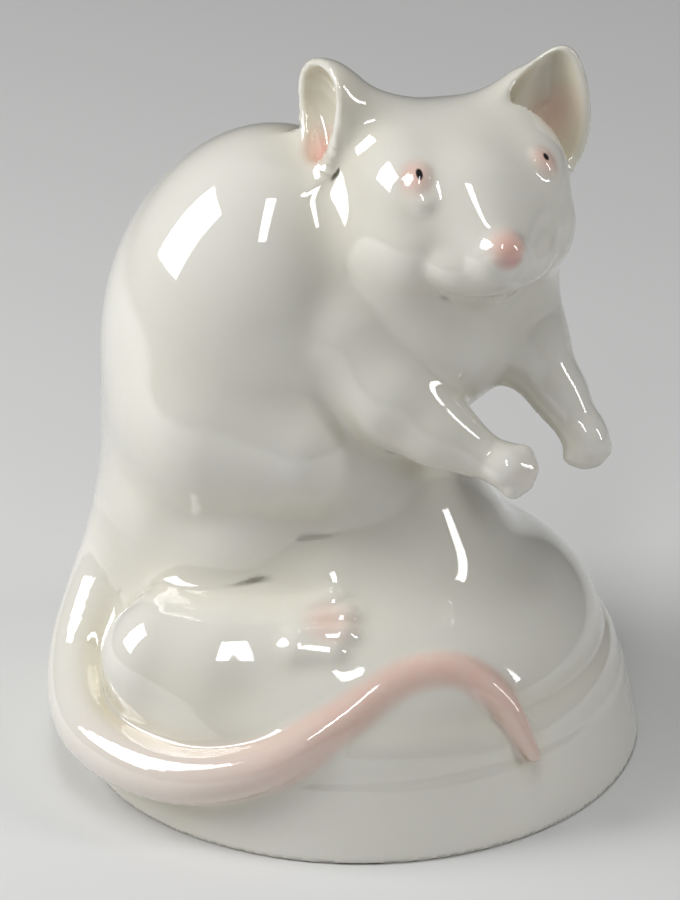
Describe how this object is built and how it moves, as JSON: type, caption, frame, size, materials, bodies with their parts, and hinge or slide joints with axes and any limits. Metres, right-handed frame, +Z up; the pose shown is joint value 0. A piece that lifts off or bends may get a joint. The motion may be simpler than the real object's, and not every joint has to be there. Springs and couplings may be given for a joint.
{
  "type": "animal figurine",
  "caption": "Glazed white porcelain mouse sitting on a rounded mound over a low round base, forelegs hanging, long tail lying around the base.",
  "frame": {"origin": "on the flat underside, where the round base's axis meets the surface it stands on", "axes": "+Z up along the base's axis; the mouse's body runs along +X with its tail at -X, and its head turns to -Y"},
  "size_m": [0.0677, 0.0644, 0.083],
  "materials": {
    "glazed_porcelain": "high gloss clear glaze with soft pink underglaze tints"
  },
  "bodies": {
    "root": {"mouse_figurine": "glazed_porcelain"}
  },
  "joints": []
}
